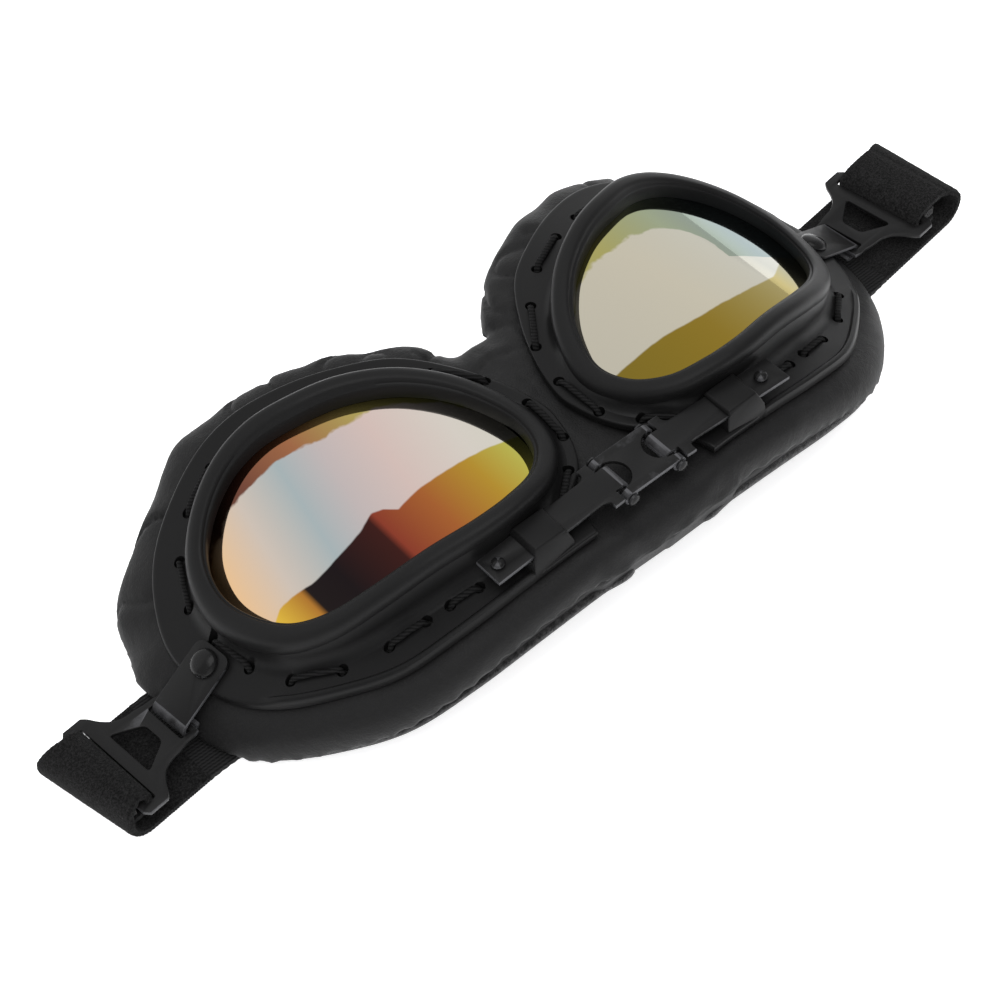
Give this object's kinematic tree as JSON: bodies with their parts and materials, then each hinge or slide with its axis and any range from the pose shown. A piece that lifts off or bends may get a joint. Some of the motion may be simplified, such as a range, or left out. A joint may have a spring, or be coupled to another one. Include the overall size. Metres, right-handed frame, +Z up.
{
  "type": "motorcycle goggles",
  "caption": "Padded aviator-style motorcycle goggles: curved mirror lenses in laced leather eyepieces, a folding sliding metal bridge, hinged strap buckles and an elastic strap.",
  "frame": {"origin": "on the surface the goggles lie on, at the middle of the strap's underside below the bridge", "axes": "+X towards the wearer's right eye piece, +Y from the brow to the cheeks, +Z up, the way the lenses face"},
  "size_m": [0.2436, 0.0916, 0.0442],
  "materials": {
    "moulded_frame": "fine satin moulding",
    "rim_rubber": "soft-touch satin",
    "mirror_lens": "warm iridescent mirror coating",
    "leather": "fine-grained soft leather",
    "lining": "brushed fleece-backed lining",
    "foam": "open-cell foam",
    "lace_cord": "braided cord",
    "painted_sheet": "semi-gloss black enamel",
    "rivet_steel": "gloss black",
    "webbing": "elastic webbing with a looped pile at its ends",
    "hook_tape": "moulded hook tape"
  },
  "bodies": {
    "bridge": {"bridge_link": "painted_sheet", "nose_gusset": "leather", "strap_band": "webbing", "hinge_pin_left": "rivet_steel", "hinge_pin_right": "rivet_steel"},
    "arm_left": {"bridge_arm_left": "painted_sheet", "stop_stud_left": "rivet_steel"},
    "eyepiece_left": {"frame_left": "moulded_frame", "bezel_left": "rim_rubber", "lens_left": "mirror_lens", "cushion_left": "leather", "foam_core_left": "foam", "face_lining_left": "lining", "lace_left": "lace_cord", "pivot_rivet_left": "rivet_steel", "rivet_washer_left": "rivet_steel"},
    "bracket_left": {"strap_bracket_left": "painted_sheet"},
    "buckle_left": {"strap_buckle_left": "painted_sheet", "strap_loop_left": "webbing", "hook_tab_left": "hook_tape"},
    "arm_right": {"bridge_arm_right": "painted_sheet", "stop_stud_right": "rivet_steel"},
    "eyepiece_right": {"frame_right": "moulded_frame", "bezel_right": "rim_rubber", "lens_right": "mirror_lens", "cushion_right": "leather", "foam_core_right": "foam", "face_lining_right": "lining", "lace_right": "lace_cord", "pivot_rivet_right": "rivet_steel", "rivet_washer_right": "rivet_steel"},
    "bracket_right": {"strap_bracket_right": "painted_sheet"},
    "buckle_right": {"strap_buckle_right": "painted_sheet", "strap_loop_right": "webbing", "hook_tab_right": "hook_tape"}
  },
  "joints": [
    {"name": "fold_left", "type": "hinge", "parent": "bridge", "child": "arm_left", "pos_m": [-0.0062, -0.0339, 0.0382], "axis": [0, -1, 0], "range_deg": [-8, 12], "deforming": ["nose_gusset", "strap_band"]},
    {"name": "slide_left", "type": "slide", "parent": "arm_left", "child": "eyepiece_left", "axis": [-0.9973, 0, -0.0728], "range_m": [-0.001, 0.003], "deforming": ["nose_gusset", "strap_band"]},
    {"name": "swivel_left", "type": "hinge", "parent": "eyepiece_left", "child": "bracket_left", "pos_m": [-0.08233, 0.0008, 0.01351], "axis": [-0.4706, 0, 0.8824], "range_deg": [-10, 10]},
    {"name": "buckle_hinge_left", "type": "hinge", "parent": "bracket_left", "child": "buckle_left", "pos_m": [-0.09226, -0.00055, 0.00703], "axis": [-0.1, 0.995, 0], "range_deg": [-10, 60]},
    {"name": "fold_right", "type": "hinge", "parent": "bridge", "child": "arm_right", "pos_m": [0.0062, -0.0339, 0.0382], "axis": [0, 1, 0], "range_deg": [-8, 12], "deforming": ["nose_gusset", "strap_band"]},
    {"name": "slide_right", "type": "slide", "parent": "arm_right", "child": "eyepiece_right", "axis": [0.9973, 0, -0.0728], "range_m": [-0.001, 0.0012], "deforming": ["nose_gusset", "strap_band"]},
    {"name": "swivel_right", "type": "hinge", "parent": "eyepiece_right", "child": "bracket_right", "pos_m": [0.08233, 0.0008, 0.01351], "axis": [0.4706, 0, 0.8824], "range_deg": [-10, 10]},
    {"name": "buckle_hinge_right", "type": "hinge", "parent": "bracket_right", "child": "buckle_right", "pos_m": [0.09221, 0.00256, 0.00705], "axis": [0.1307, -0.9914, 0], "range_deg": [-10, 60]}
  ]
}
